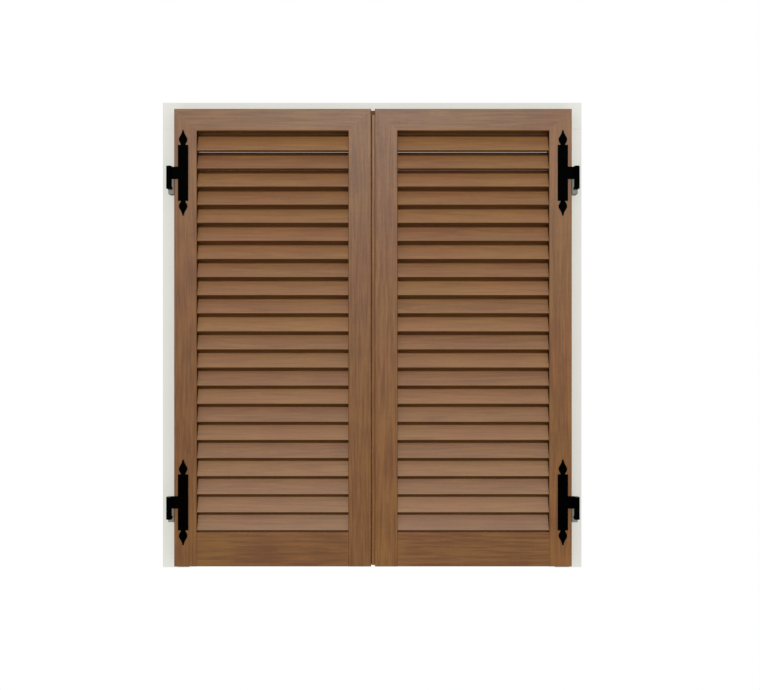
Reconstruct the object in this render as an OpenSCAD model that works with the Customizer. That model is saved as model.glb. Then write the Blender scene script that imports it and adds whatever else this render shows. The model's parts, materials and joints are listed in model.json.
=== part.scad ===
// A pair of wooden louvred shutter leaves on strap hinges, with their frame.
// Origin: centre of the four fixing holes, on the wall face. +Z up, the front faces -Y.

/* [Leaves] */
// Width of each leaf
leaf_w = 512; // [400:1:640]
// Height of each leaf
leaf_h = 1190; // [900:1:1450]
// Thickness of each leaf
leaf_t = 38; // [37:0.5:40]
// Width of the stiles
stile_w = 59; // [52:0.5:80]
// Height of the top rail
top_rail_h = 57; // [50:0.5:80]
// Height of the bottom rail
bottom_rail_h = 89; // [80:0.5:120]
// Radius of the rounded wood edges
arris_r = 1.6; // [0.8:0.1:2.5]
// Length of the bottom rail's stub tenons
tenon_len = 28; // [15:1:40]
// Thickness of the bottom rail's stub tenons
tenon_t = 12; // [8:1:14]

/* [Slats] */
// Height from one slat to the next
slat_pitch = 47.1; // [40:0.1:60]
// Least room between the top slat and the top rail
slat_headroom = 2; // [1:0.5:10]
// Room between the lowest slat and the bottom rail
slat_footroom = 0.5; // [0.5:0.1:10]
// Width of a slat, measured along its slope
slat_w = 54.3; // [46:0.1:55]
// Thickness of a slat
slat_t = 8; // [6:0.5:9]
// Lean of a slat from the vertical
slat_tilt = 30; // [25:1:32]
// Distance of a slat's front corner behind the leaf's front
slat_setback = 3; // [2:0.5:4]
// Radius of a slat's edges
slat_r = 0.8; // [0.5:0.1:2.5]
// Depth of the slat housings in the stiles
housing_depth = 9; // [5:0.5:14]
// Clearance of a slat in its housing
slat_fit = 0.15; // [0.1:0.05:0.3]
// Depth of the top rail's lip behind the top slat, front to back
lip_depth = 9; // [6:0.5:10]
// Room between the lip and the top slat
lip_gap = 0.4; // [0.3:0.1:1]

/* [Meeting edge] */
// Gap between the left leaf and the strip
meeting_gap = 1.8; // [1.8:0.1:5]
// Width of the strip along the right leaf's meeting edge
strip_w = 8.1; // [4:0.1:10]
// Depth of the strip, front to back
strip_depth = 22; // [12:1:26]
// Distance of the strip behind the leaf's front
strip_setback = 1; // [0:0.5:4]
// Distance of the strip's top end below the leaf's top
strip_top_cut = 16; // [4:1:30]
// Distance of the strip's lower end above the leaf's bottom
strip_bottom_cut = 3.5; // [1:0.5:20]
// Width of the groove between the strip and the stile
groove_w = 0.7; // [0.5:0.1:2]
// Depth of that groove behind the strip's front
groove_depth = 3; // [2:0.5:6]
// Distance of the meeting edges' bevel behind the leaf's front
bevel_start = 26; // [24:0.5:28]
// How far the bevel runs in by the leaf's back
bevel_in = 1.7; // [1.4:0.1:3]
// Thickness of the soft seal behind the strip
seal_t = 1.5; // [1:0.1:2]
// Room between the seal and the left leaf
seal_gap = 0.05; // [0.02:0.01:0.2]

/* [Frame] */
// Frame showing above the leaves
margin_top = 25; // [15:1:40]
// Frame below the leaves
margin_bottom = 10; // [5:1:25]
// Frame showing beside the left leaf
margin_left = 37.5; // [30:0.1:60]
// Frame showing beside the right leaf
margin_right = 32.6; // [30:0.1:60]
// Width of the jambs
jamb_w = 70; // [66:1:90]
// Height of the head
head_h = 70; // [60:1:80]
// Depth of the frame, front to back
frame_depth = 50; // [44:1:90]
// Gap between the closed leaves and the frame
leaf_gap = 2; // [1:0.5:5]
// Height of the tenons on top of the jambs
jamb_tenon_h = 40; // [20:1:50]
// Radius of the frame's rounded edges
frame_arris_r = 0.8; // [0.5:0.1:2.5]

/* [Strap hinges] */
// Height of a hinge's middle from the leaf's end
hinge_inset = 167; // [140:1:260]
// Distance of a strap's centre line from the leaf's outer edge
strap_inset = 23.7; // [20:0.1:30]
// Width of the strap's plate
strap_w = 26.3; // [20:0.1:32]
// Length of the strap's plate, without its spear heads
strap_len = 145; // [120:1:170]
// Thickness of the strap
strap_t = 4; // [3:0.5:6]
// Length of a spear head
spear_len = 38.5; // [30:0.5:50]
// Greatest width of a spear head
spear_w = 21.6; // [16:0.1:24]
// Width of a spear head at the plate
spear_neck = 11.4; // [8:0.1:14]
// Height of the strap's arm
arm_h = 32; // [24:1:36]
// Thickness of the limb from the arm forward to the barrel
limb_t = 9; // [6:0.5:12]
// Diameter of the barrel
barrel_d = 14.5; // [13:0.5:18]
// Length of the barrel
barrel_len = 52.5; // [48:0.5:64]
// Distance of the barrel's axis in front of the leaf's front
axis_forward = 13; // [12:0.5:20]
// Distance of the barrel's axis outside the leaf's edge
axis_out = 10.7; // [9.4:0.1:12]

/* [Pintles] */
// Diameter of the pin
pin_d = 9; // [8:0.5:10]
// Radial clearance of the pin in the barrel
pin_fit = 0.05; // [0.02:0.01:0.1]
// Height of the pin above the barrel
pin_proud = 0.8; // [0:0.1:3]
// Width of the pintle's bracket
pintle_w = 12.6; // [12:0.1:13.6]
// Length of the bracket below the barrel
pintle_drop = 16.5; // [12:0.5:20]
// Height of the lug that carries the barrel
lug_h = 6; // [5:0.5:8]
// Distance of the bracket behind the barrel's axis
bracket_back = 20; // [19:0.5:26]
// How far the bracket reaches from the axis towards the leaf's edge
bracket_reach = 9.2; // [6.3:0.1:9.7]
// Radius of the bracket's front edges
bracket_r = 1.5; // [0.5:0.1:3]
// Diameter of the two shanks in the jamb
shank_d = 8; // [6:1:10]
// Length of the shanks in the jamb
shank_len = 32; // [20:1:40]

/* [Screws] */
// Distance of a strap's end screws from its plate's end
screw_end = 12.5; // [10:0.5:20]
// Distance between a strap's two screws at each end
screw_pitch = 26; // [16:1:32]
// Diameter of the strap screws
screw_d = 5; // [4:0.5:6]
// Length of the strap screws in the wood
screw_len = 26; // [15:1:32]
// Diameter of the strap screws' domed heads
screw_head_d = 10; // [8:0.5:12]
// Height of the strap screws' heads
screw_head_h = 2.2; // [1.5:0.1:3]
// Clearance around a screw or shank in its hole
screw_fit = 0.05; // [0.02:0.01:0.2]
// Diameter of the corner screws of the frame
corner_screw_d = 6; // [5:0.5:8]
// Length of the corner screws
corner_screw_len = 110; // [90:1:140]
// Diameter of the holes for the wall screws
fixing_hole_d = 8.5; // [6.5:0.5:10.5]
// Distance of the wall screws from the jamb's outer edge
fixing_inset = 54; // [52:1:58]
// Height between the wall screws
fixing_pitch = 900; // [500:10:1000]

/* [Slide bolts] */
// Diameter of the bolts
bolt_d = 9; // [7:0.5:10]
// Length of the bolts
bolt_len = 130; // [120:1:180]
// Travel of the bolts
bolt_travel = 20; // [10:1:24]
// Distance of a bolt's centre line behind the leaf's back
bolt_back = 12; // [11:0.5:15]
// Radial clearance of a bolt in its guides
bolt_fit = 0.05; // [0.02:0.01:0.1]
// Gap between a drawn-back bolt and the head
bolt_gap = 4; // [2:0.5:8]
// Width of the square mortises in the head that take the top bolts
mortise_w = 12; // [11:0.5:13]
// Width of the guides' plate
guide_w = 30; // [26:1:40]
// Length of the guides' plate
guide_len = 110; // [100:1:120]
// Thickness of the guides' plate
guide_t = 2.5; // [2:0.5:4]
// Length of one guide block
block_len = 16; // [12:1:20]
// Diameter of the bolt's knob
knob_d = 16; // [12:1:20]
// Diameter of the knob's stem
knob_stem_d = 6; // [4:0.5:8]
// Diameter of the guides' screws
guide_screw_d = 4; // [3:0.5:5]
// Length of the guides' screws in the wood
guide_screw_len = 10; // [6:0.5:10]

/* [Hidden] */
$fn = 48;

wood = "#8a6346";
paint = "#dedcd0";
black = "#101010";
zinc = "#9aa09c";
rubber = "#4a3020";

// Heights
frame_h = margin_bottom + leaf_h + margin_top;
frame_z0 = -frame_h / 2;
frame_z1 = frame_h / 2;
leaf_z0 = frame_z0 + margin_bottom;
leaf_z1 = leaf_z0 + leaf_h;
soffit_z = frame_z1 - head_h;
louvre_z0 = leaf_z0 + bottom_rail_h;
louvre_z1 = leaf_z1 - top_rail_h;
hinge_zs = [leaf_z0 + hinge_inset, leaf_z1 - hinge_inset];

// Depths
frame_front = -frame_depth;
leaf_back = frame_front - leaf_gap;
leaf_front = leaf_back - leaf_t;
axis_y = leaf_front - axis_forward;

// Widths: the frame's centre line lies at X = 0
frame_x = (margin_left + 2 * leaf_w + meeting_gap + strip_w + margin_right) / 2;
left_edge = -frame_x + margin_left;
meeting_edge = left_edge + leaf_w;

// Slats: as many as the height between the rails holds
slat_rise = slat_w * cos(slat_tilt);
slat_drop = slat_t * sin(slat_tilt);
slat_first = louvre_z0 + slat_drop + slat_footroom;
slat_count = floor((louvre_z1 - slat_headroom - slat_first - slat_rise) / slat_pitch) + 1;
slat_top = slat_first + (slat_count - 1) * slat_pitch + slat_rise;

// Hinges: heights from a hinge's middle
barrel_z0 = arm_h / 2 - barrel_len;
screw_far = strap_len / 2 - screw_end;
screw_zs = [-screw_far, screw_pitch - screw_far, screw_far - screw_pitch, screw_far];
bracket_z1 = arm_h / 4;
shank_zs = [barrel_z0 - 4, -4];

// Slide bolts: heights of the guides' middles, and places of their screws from there
bolt_x = stile_w / 2 - meeting_edge;
guide_zs = [
    leaf_z0 + bolt_gap + bolt_travel / 2 + guide_len / 2,
    soffit_z - bolt_gap - bolt_travel / 2 - guide_len / 2
];
guide_screw_edge = 4.5;
guide_screw_x = guide_w / 2 - guide_screw_edge;
guide_screw_z = guide_len / 2 - guide_screw_edge - 2.5;
block_z = guide_len / 2 - 14 - block_len / 2;

// A bar with four rounded long edges, from corner to corner, along Z
module bar_z(from, to, r) {
    size = to - from;
    translate(from)
        linear_extrude(size[2]) rounded_rectangle([size[0], size[1]], r);
}

// The same, along X
module bar_x(from, to, r) {
    size = to - from;
    translate(from)
        rotate([90, 0, 90]) linear_extrude(size[0]) rounded_rectangle([size[1], size[2]], r);
}

module rounded_rectangle(size, r) {
    translate([r, 0]) square([size[0] - 2 * r, size[1]]);
    translate([0, r]) square([size[0], size[1] - 2 * r]);
    for (x = [r, size[0] - r], y = [r, size[1] - r]) translate([x, y]) circle(r);
}

module box(from, to) {
    translate(from) cube(to - from);
}

// A cylinder that lies along Y, from one depth to another
module rod_y(d, y0, y1) {
    translate([0, y0, 0]) rotate([-90, 0, 0]) cylinder(d = d, h = y1 - y0);
}

// Puts the left leaf's shape at the right leaf's place: mirrored, and moved to its margin
module on_side(side) {
    if (side == "left") children();
    else translate([margin_left - margin_right, 0, 0]) mirror([1, 0, 0]) children();
}

// ---- Leaf ----

// A slat's section at its slope, in depth and height, from its front lower corner
module slat_section(grow) {
    rotate([0, 0, -slat_tilt])
        translate([-grow, -grow])
            rounded_rectangle([slat_t + 2 * grow, slat_w + 2 * grow], slat_r + grow);
}

// All slats between two places across the leaf
module slat_set(x0, x1, grow) {
    for (i = [0 : slat_count - 1])
        translate([x0, leaf_front + slat_setback, slat_first + i * slat_pitch])
            rotate([90, 0, 90]) linear_extrude(x1 - x0) slat_section(grow);
}

// What a stile keeps at its mitred top end
module stile_limits(outer) {
    x_out = outer ? left_edge : meeting_edge;
    x_in = outer ? left_edge + stile_w : meeting_edge - stile_w;
    way = outer ? 1 : -1;
    translate([0, leaf_back + 1, 0]) rotate([90, 0, 0]) linear_extrude(leaf_t + 2)
        polygon([
            [x_out - way, leaf_z0 - 1],
            [x_in + way, leaf_z0 - 1],
            [x_in + way, louvre_z1 - top_rail_h / stile_w],
            [x_out, leaf_z1],
            [x_out - way, leaf_z1 + top_rail_h / stile_w]
        ]);
}

module strap_screw_holes() {
    for (z = hinge_zs, s = screw_zs)
        translate([left_edge + strap_inset, 0, z + s])
            rod_y(screw_d + 2 * screw_fit, leaf_front - 1, leaf_front + screw_len + 0.3);
}

module guide_screw_holes() {
    for (z = guide_zs, x = [-1, 1], e = [-1, 1])
        translate([-bolt_x + x * guide_screw_x, 0, z + e * guide_screw_z])
            rod_y(guide_screw_d + 2 * screw_fit, leaf_back - guide_screw_len - 0.3, leaf_back + 1);
}

module bottom_tenons(grow) {
    h = bottom_rail_h * 0.6;
    z0 = leaf_z0 + (bottom_rail_h - h) / 2;
    y0 = (leaf_front + leaf_back) / 2 - tenon_t / 2;
    x0 = left_edge + stile_w - tenon_len;
    x1 = meeting_edge - stile_w + tenon_len;
    box([x0 - grow, y0 - grow, z0 - grow], [x1 + grow, y0 + tenon_t + grow, z0 + h + grow]);
}

// What is planed off a meeting edge's back, so that it passes the other leaf
module meeting_bevel() {
    translate([0, 0, leaf_z0 - 1]) linear_extrude(leaf_h + 2)
        polygon([
            [meeting_edge, leaf_front + bevel_start],
            [meeting_edge + 2, leaf_front + bevel_start],
            [meeting_edge + 2, leaf_back + 1],
            [meeting_edge - bevel_in, leaf_back + 1],
            [meeting_edge - bevel_in, leaf_back]
        ]);
}

module stile(outer) {
    x0 = outer ? left_edge : meeting_edge - stile_w;
    color(wood) difference() {
        intersection() {
            bar_z([x0, leaf_front, leaf_z0], [x0 + stile_w, leaf_back, leaf_z1], arris_r);
            stile_limits(outer);
        }
        slat_set(left_edge + stile_w - housing_depth - slat_fit,
            meeting_edge - stile_w + housing_depth + slat_fit, slat_fit);
        bottom_tenons(0.1);
        if (outer) strap_screw_holes();
        else {
            guide_screw_holes();
            meeting_bevel();
        }
    }
}

module top_rail() {
    slope = top_rail_h / stile_w;
    x0 = left_edge;
    x1 = meeting_edge;
    color(wood) difference() {
        intersection() {
            bar_x([x0, leaf_front, louvre_z1], [x1, leaf_back, leaf_z1], arris_r);
            translate([0, leaf_back + 1, 0]) rotate([90, 0, 0]) linear_extrude(leaf_t + 2)
                polygon([
                    [x0 - 1, leaf_z1 + slope],
                    [x0 + stile_w + 1, louvre_z1 - slope],
                    [x1 - stile_w - 1, louvre_z1 - slope],
                    [x1 + 1, leaf_z1 + slope]
                ]);
        }
        meeting_bevel();
    }
    color(wood) box([x0 + stile_w + 0.1, leaf_back - lip_depth, slat_top + lip_gap],
        [x1 - stile_w - 0.1, leaf_back, louvre_z1 + arris_r]);
}

module bottom_rail() {
    color(wood) {
        bar_x([left_edge + stile_w, leaf_front, leaf_z0],
            [meeting_edge - stile_w, leaf_back, louvre_z0], arris_r);
        bottom_tenons(0);
    }
}

module slats() {
    color(wood) slat_set(left_edge + stile_w - housing_depth,
        meeting_edge - stile_w + housing_depth, 0);
}

// The strip that closes most of the gap between the leaves, on the right leaf's edge
module meeting_strip() {
    x0 = meeting_edge + meeting_gap;
    x1 = x0 + strip_w;
    y0 = leaf_front + strip_setback;
    color(wood) difference() {
        bar_z([x0, y0, leaf_z0 + strip_bottom_cut],
            [x1, y0 + strip_depth, leaf_z1 - strip_top_cut], arris_r);
        box([x1 - groove_w, y0 - 1, leaf_z0],
            [x1 + 1, y0 + groove_depth, leaf_z1]);
    }
}

// The soft seal behind the strip, which closes the rest of the gap
module meeting_seal() {
    y = leaf_front + strip_setback + strip_depth;
    color(rubber) box([meeting_edge + seal_gap, y, leaf_z0],
        [meeting_edge + meeting_gap + strip_w, y + seal_t, leaf_z1]);
}

// ---- Strap hinges and pintles ----

function bezier(p, t) =
    pow(1 - t, 3) * p[0] + 3 * pow(1 - t, 2) * t * p[1] + 3 * (1 - t) * t * t * p[2]
    + pow(t, 3) * p[3];
function curve(p, n) = [for (i = [0 : n]) bezier(p, i / n)];

// Half of a spear head's outline, from the plate's end up to its tip
function spear_side() =
    let (n = spear_neck / 2, w = spear_w / 2, l = spear_len)
    concat(
        [[n, -1]],
        curve([[n, 0], [n, 0.14 * l], [w, 0.16 * l], [w, 0.38 * l]], 8),
        curve([[w, 0.38 * l], [w, 0.56 * l], [0.28 * w, 0.66 * l], [0.13 * w, l]], 10)
    );

module spear_outline() {
    half = spear_side();
    polygon(concat(half, [for (i = [len(half) - 1 : -1 : 0]) [-half[i][0], half[i][1]]]));
}

// One strap, its middle at height 0
module strap(z) {
    x0 = left_edge + strap_inset;
    ax = left_edge - axis_out;
    color(black) translate([0, 0, z]) difference() {
        union() {
            translate([x0, leaf_front, 0]) rotate([90, 0, 0]) linear_extrude(strap_t) {
                translate([-strap_w / 2, -strap_len / 2]) square([strap_w, strap_len]);
                for (end = [0, 1]) mirror([0, end]) translate([0, strap_len / 2]) spear_outline();
            }
            box([ax - limb_t / 2, leaf_front - strap_t, -arm_h / 2],
                [x0, leaf_front, arm_h / 2]);
            box([ax - limb_t / 2, axis_y, -arm_h / 2],
                [ax + limb_t / 2, leaf_front, arm_h / 2]);
            translate([ax, axis_y, barrel_z0]) cylinder(d = barrel_d, h = barrel_len);
        }
        translate([ax, axis_y, barrel_z0 - 1])
            cylinder(d = pin_d + 2 * pin_fit, h = barrel_len + 2);
        for (s = screw_zs) translate([x0, 0, s])
            rod_y(screw_d + 2 * screw_fit, leaf_front - strap_t - 1, leaf_front + 1);
    }
}

// A round-headed screw that points into the wood, its head's underside at depth 0
module domed_screw(d, length, head_d, head_h) {
    rotate([-90, 0, 0]) {
        cylinder(d = d, h = length);
        dome_r = (head_d * head_d / 4 + head_h * head_h) / (2 * head_h);
        mirror([0, 0, 1]) intersection() {
            translate([0, 0, head_h - dome_r]) sphere(dome_r, $fn = 96);
            cylinder(d = head_d + 2, h = head_h + 1);
        }
    }
}

module strap_screws() {
    color(black) for (z = hinge_zs, s = screw_zs)
        translate([left_edge + strap_inset, leaf_front - strap_t, z + s])
            domed_screw(screw_d, screw_len + strap_t, screw_head_d, screw_head_h);
}

// One pintle, its hinge's middle at height 0: bracket on the jamb, lug, upright pin, two shanks
module pintle(z) {
    front = axis_y + bracket_back;
    low = barrel_z0 - pintle_drop;
    r = pintle_w / 2;
    color(zinc) translate([left_edge - axis_out, 0, z]) {
        translate([-r, front, low]) linear_extrude(bracket_z1 - low)
            rounded_rectangle([r + bracket_reach, frame_front - front - 1], bracket_r);
        box([-r, front + bracket_r + 1, low], [bracket_reach, frame_front, bracket_z1]);
        translate([0, axis_y, barrel_z0 - lug_h]) cylinder(d = barrel_d, h = lug_h);
        box([-pin_d / 2 - 1, axis_y, barrel_z0 - lug_h],
            [pin_d / 2 + 1, front + r, barrel_z0]);
        translate([0, axis_y, barrel_z0 - lug_h / 2])
            cylinder(d = pin_d, h = barrel_len + lug_h / 2 + pin_proud);
        for (s = shank_zs) translate([0, 0, s])
            rod_y(shank_d, frame_front - 1, frame_front + shank_len);
    }
}

module shank_holes() {
    for (z = hinge_zs, s = shank_zs) translate([left_edge - axis_out, 0, z + s])
        rod_y(shank_d + 2 * screw_fit, frame_front - 1, frame_front + shank_len + 0.3);
}

// ---- Slide bolts on the leaves' backs ----

// Plate with two blocks that the bolt slides in
module bolt_guide(z) {
    y = leaf_back + bolt_back;
    color(zinc) translate([-bolt_x, 0, z]) difference() {
        union() {
            box([-guide_w / 2, leaf_back, -guide_len / 2],
                [guide_w / 2, leaf_back + guide_t, guide_len / 2]);
            for (end = [-1, 1]) translate([0, 0, end * block_z]) {
                r = bolt_d / 2 + 3;
                translate([0, y, -block_len / 2]) cylinder(r = r, h = block_len);
                box([-r, leaf_back, -block_len / 2], [r, y, block_len / 2]);
            }
        }
        translate([0, y, -guide_len / 2 - 1])
            cylinder(d = bolt_d + 2 * bolt_fit, h = guide_len + 2);
        for (x = [-1, 1], e = [-1, 1]) translate([x * guide_screw_x, 0, e * guide_screw_z])
            rod_y(guide_screw_d + 2 * screw_fit, leaf_back - 1, leaf_back + guide_t + 1);
    }
}

module guide_screws() {
    color(zinc) for (z = guide_zs, x = [-1, 1], e = [-1, 1])
        translate([-bolt_x + x * guide_screw_x, leaf_back + guide_t, z + e * guide_screw_z])
            mirror([0, 1, 0]) domed_screw(guide_screw_d, guide_screw_len + guide_t, 7.5, 2);
}

// A bolt drawn back; way is 1 where it shoots up and -1 where it shoots down
module slide_bolt(z, way) {
    y = leaf_back + bolt_back;
    stem = bolt_d / 2 + 12;
    tip = way * (guide_len / 2 + bolt_travel / 2);
    color(zinc) translate([-bolt_x, y, z]) {
        translate([0, 0, way > 0 ? tip - bolt_len : tip]) cylinder(d = bolt_d, h = bolt_len);
        translate([0, 0, -way * bolt_travel / 2]) rotate([-90, 0, 0]) {
            cylinder(d = knob_stem_d, h = stem);
            translate([0, 0, stem]) sphere(d = knob_d);
        }
    }
}

// ---- Frame ----

module jamb_tenon(side, grow) {
    x = side * (frame_x - jamb_w / 2);
    box([x - jamb_w / 3 - grow, frame_front / 2 - 8 - grow, soffit_z - 1],
        [x + jamb_w / 3 + grow, frame_front / 2 + 8 + grow, soffit_z + jamb_tenon_h + grow]);
}

module corner_screw_places() {
    for (side = [-1, 1], s = [-1, 1])
        translate([side * (frame_x - jamb_w / 2) + s * jamb_w / 5, frame_front / 2, frame_z1])
            children();
}

module jamb(side) {
    x0 = side < 0 ? -frame_x : frame_x - jamb_w;
    color(paint) difference() {
        union() {
            bar_z([x0, frame_front, frame_z0], [x0 + jamb_w, 0, soffit_z], frame_arris_r);
            jamb_tenon(side, 0);
        }
        for (z = [-1, 1]) translate([side * (frame_x - fixing_inset), 0, z * fixing_pitch / 2]) {
            rod_y(fixing_hole_d, frame_front - 1, 1);
            rod_y(2 * fixing_hole_d, frame_front - 1, frame_front + 6);
        }
        on_side(side < 0 ? "left" : "right") shank_holes();
        corner_screw_places() rotate([180, 0, 0])
            cylinder(d = corner_screw_d + 2 * screw_fit, h = corner_screw_len + 0.3);
    }
}

module head() {
    color(paint) difference() {
        bar_x([-frame_x, frame_front, soffit_z], [frame_x, 0, frame_z1], frame_arris_r);
        for (side = [-1, 1]) jamb_tenon(side, 0.1);
        corner_screw_places() rotate([180, 0, 0]) {
            cylinder(d = corner_screw_d + 2 * screw_fit, h = head_h + 1);
            translate([0, 0, -1]) cylinder(d = 2 * corner_screw_d + 0.4, h = 5);
        }
        for (side = ["left", "right"]) on_side(side)
            box([-bolt_x - mortise_w / 2, leaf_back + bolt_back - mortise_w / 2, soffit_z - 1],
                [-bolt_x + mortise_w / 2, leaf_back + bolt_back + mortise_w / 2,
                    soffit_z + bolt_travel]);
    }
}

module corner_screws() {
    color(zinc) corner_screw_places() rotate([180, 0, 0]) {
        translate([0, 0, 4]) cylinder(d = corner_screw_d, h = corner_screw_len - 4);
        translate([0, 0, 0.5]) cylinder(d = 2 * corner_screw_d, h = 3.5);
    }
}

lower = hinge_zs[0];
upper = hinge_zs[1];
low_guide = guide_zs[0];
top_guide = guide_zs[1];

head();
jamb(-1);  // left_jamb
jamb(1);  // right_jamb
corner_screws();
on_side("left") pintle(upper);  // left_upper_pintle
on_side("left") pintle(lower);  // left_lower_pintle
on_side("right") pintle(upper);  // right_upper_pintle
on_side("right") pintle(lower);  // right_lower_pintle

on_side("left") stile(true);  // left_outer_stile
on_side("left") stile(false);  // left_meeting_stile
on_side("left") top_rail();  // left_top_rail
on_side("left") bottom_rail();  // left_bottom_rail
on_side("left") slats();  // left_slats
on_side("left") strap(upper);  // left_upper_strap
on_side("left") strap(lower);  // left_lower_strap
on_side("left") strap_screws();  // left_strap_screws
on_side("left") bolt_guide(top_guide);  // left_top_bolt_guide
on_side("left") bolt_guide(low_guide);  // left_bottom_bolt_guide
on_side("left") guide_screws();  // left_guide_screws
on_side("left") slide_bolt(top_guide, 1);  // left_top_bolt
on_side("left") slide_bolt(low_guide, -1);  // left_bottom_bolt

on_side("right") stile(true);  // right_outer_stile
on_side("right") stile(false);  // right_meeting_stile
on_side("right") top_rail();  // right_top_rail
on_side("right") bottom_rail();  // right_bottom_rail
on_side("right") slats();  // right_slats
meeting_strip();
meeting_seal();
on_side("right") strap(upper);  // right_upper_strap
on_side("right") strap(lower);  // right_lower_strap
on_side("right") strap_screws();  // right_strap_screws
on_side("right") bolt_guide(top_guide);  // right_top_bolt_guide
on_side("right") bolt_guide(low_guide);  // right_bottom_bolt_guide
on_side("right") guide_screws();  // right_guide_screws
on_side("right") slide_bolt(top_guide, 1);  // right_top_bolt
on_side("right") slide_bolt(low_guide, -1);  // right_bottom_bolt
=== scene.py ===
import json
import math

import bmesh
import bpy
from bpy.props import FloatProperty, FloatVectorProperty, IntProperty, PointerProperty
from bpy.types import Operator, Panel, PropertyGroup
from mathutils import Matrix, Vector

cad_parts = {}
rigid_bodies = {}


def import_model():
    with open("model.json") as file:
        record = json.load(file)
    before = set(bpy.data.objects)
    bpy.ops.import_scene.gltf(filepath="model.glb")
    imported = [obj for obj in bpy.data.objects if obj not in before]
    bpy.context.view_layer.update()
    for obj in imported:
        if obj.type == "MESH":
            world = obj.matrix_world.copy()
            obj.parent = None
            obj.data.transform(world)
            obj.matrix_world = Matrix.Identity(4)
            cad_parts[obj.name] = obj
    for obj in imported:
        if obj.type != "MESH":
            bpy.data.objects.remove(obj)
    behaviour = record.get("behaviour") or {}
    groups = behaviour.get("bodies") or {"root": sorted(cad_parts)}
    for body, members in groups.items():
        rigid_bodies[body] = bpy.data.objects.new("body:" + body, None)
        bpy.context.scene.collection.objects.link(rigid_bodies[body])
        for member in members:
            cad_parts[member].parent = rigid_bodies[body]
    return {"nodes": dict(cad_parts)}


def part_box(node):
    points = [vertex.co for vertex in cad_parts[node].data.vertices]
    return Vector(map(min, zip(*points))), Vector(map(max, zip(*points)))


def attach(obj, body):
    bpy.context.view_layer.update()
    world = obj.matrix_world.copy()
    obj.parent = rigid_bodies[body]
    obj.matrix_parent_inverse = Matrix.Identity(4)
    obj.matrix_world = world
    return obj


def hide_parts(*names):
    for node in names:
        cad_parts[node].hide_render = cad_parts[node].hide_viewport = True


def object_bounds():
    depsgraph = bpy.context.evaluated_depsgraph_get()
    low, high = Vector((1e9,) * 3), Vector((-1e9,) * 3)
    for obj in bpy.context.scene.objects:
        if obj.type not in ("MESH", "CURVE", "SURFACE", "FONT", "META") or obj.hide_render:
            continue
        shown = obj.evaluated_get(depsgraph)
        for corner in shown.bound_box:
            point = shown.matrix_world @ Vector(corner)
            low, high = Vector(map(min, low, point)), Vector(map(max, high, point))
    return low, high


bl_info = {
    "name": "Louvred Shutters",
    "version": (1, 0, 0),
    "blender": (4, 5, 0),
    "location": "3D View > Sidebar > Shutters",
    "description": "Dresses a pair of louvred shutter leaves and their frame",
    "category": "Object",
}

SIDES = ("left", "right")

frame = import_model()
NODES = frame["nodes"]
MEASURED_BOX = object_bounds()

# Points of the measured meshes that lie this close together are one point
JOIN_DISTANCE = 2e-6
# A face that leans this little from its neighbour belongs to the same flat face
FLAT_ANGLE = math.radians(0.5)

SLAT_COUNT = 22
SLAT_LEAN = math.radians(30)
SLAT_WIDTH = 0.0543
SLAT_THICKNESS = 0.008
SLAT_EDGE = 0.0008

# Near-black colour painted as shade, on the stiles' inner faces between the slats and on the
# slats' narrow edges, where the main light doesn't reach
PAINTED_SHADE = (0.004, 0.002, 0.001)
# Dust and old paint in thin places of the frame's paint
WORN_PAINT = (0.42, 0.37, 0.29)


def slat_pitch():
    """Height from one slat to the next, from the height that the whole set takes."""
    low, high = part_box("left_slats")
    one = (
        (SLAT_WIDTH - 2 * SLAT_EDGE) * math.cos(SLAT_LEAN)
        + (SLAT_THICKNESS - 2 * SLAT_EDGE) * math.sin(SLAT_LEAN)
        + 2 * SLAT_EDGE
    )
    return (high.z - low.z - one) / (SLAT_COUNT - 1)


# ---- Node trees ----


class Tree:
    """A node tree that is being built: adds nodes, and links or sets their inputs."""

    def __init__(self, tree):
        self.tree = tree

    def feed(self, socket, value):
        if isinstance(value, bpy.types.Node):
            value = value.outputs[0]
        if isinstance(value, bpy.types.NodeSocket):
            self.tree.links.new(value, socket)
        else:
            socket.default_value = value

    def add(self, kind, inputs=None, **settings):
        node = self.tree.nodes.new(kind)
        for key, value in settings.items():
            setattr(node, key, value)
        for key, value in (inputs or {}).items():
            self.feed(node.inputs[key], value)
        return node

    def math(self, operation, a, b=0.0, c=0.0, clamp=False):
        return self.add(
            "ShaderNodeMath",
            {0: a, 1: b, 2: c},
            operation=operation,
            use_clamp=clamp,
        ).outputs[0]

    def vector(self, operation, a, b=(0.0, 0.0, 0.0)):
        node = self.add("ShaderNodeVectorMath", {0: a, 1: b}, operation=operation)
        return node.outputs["Value" if operation in ("DOT_PRODUCT", "LENGTH") else "Vector"]


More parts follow.
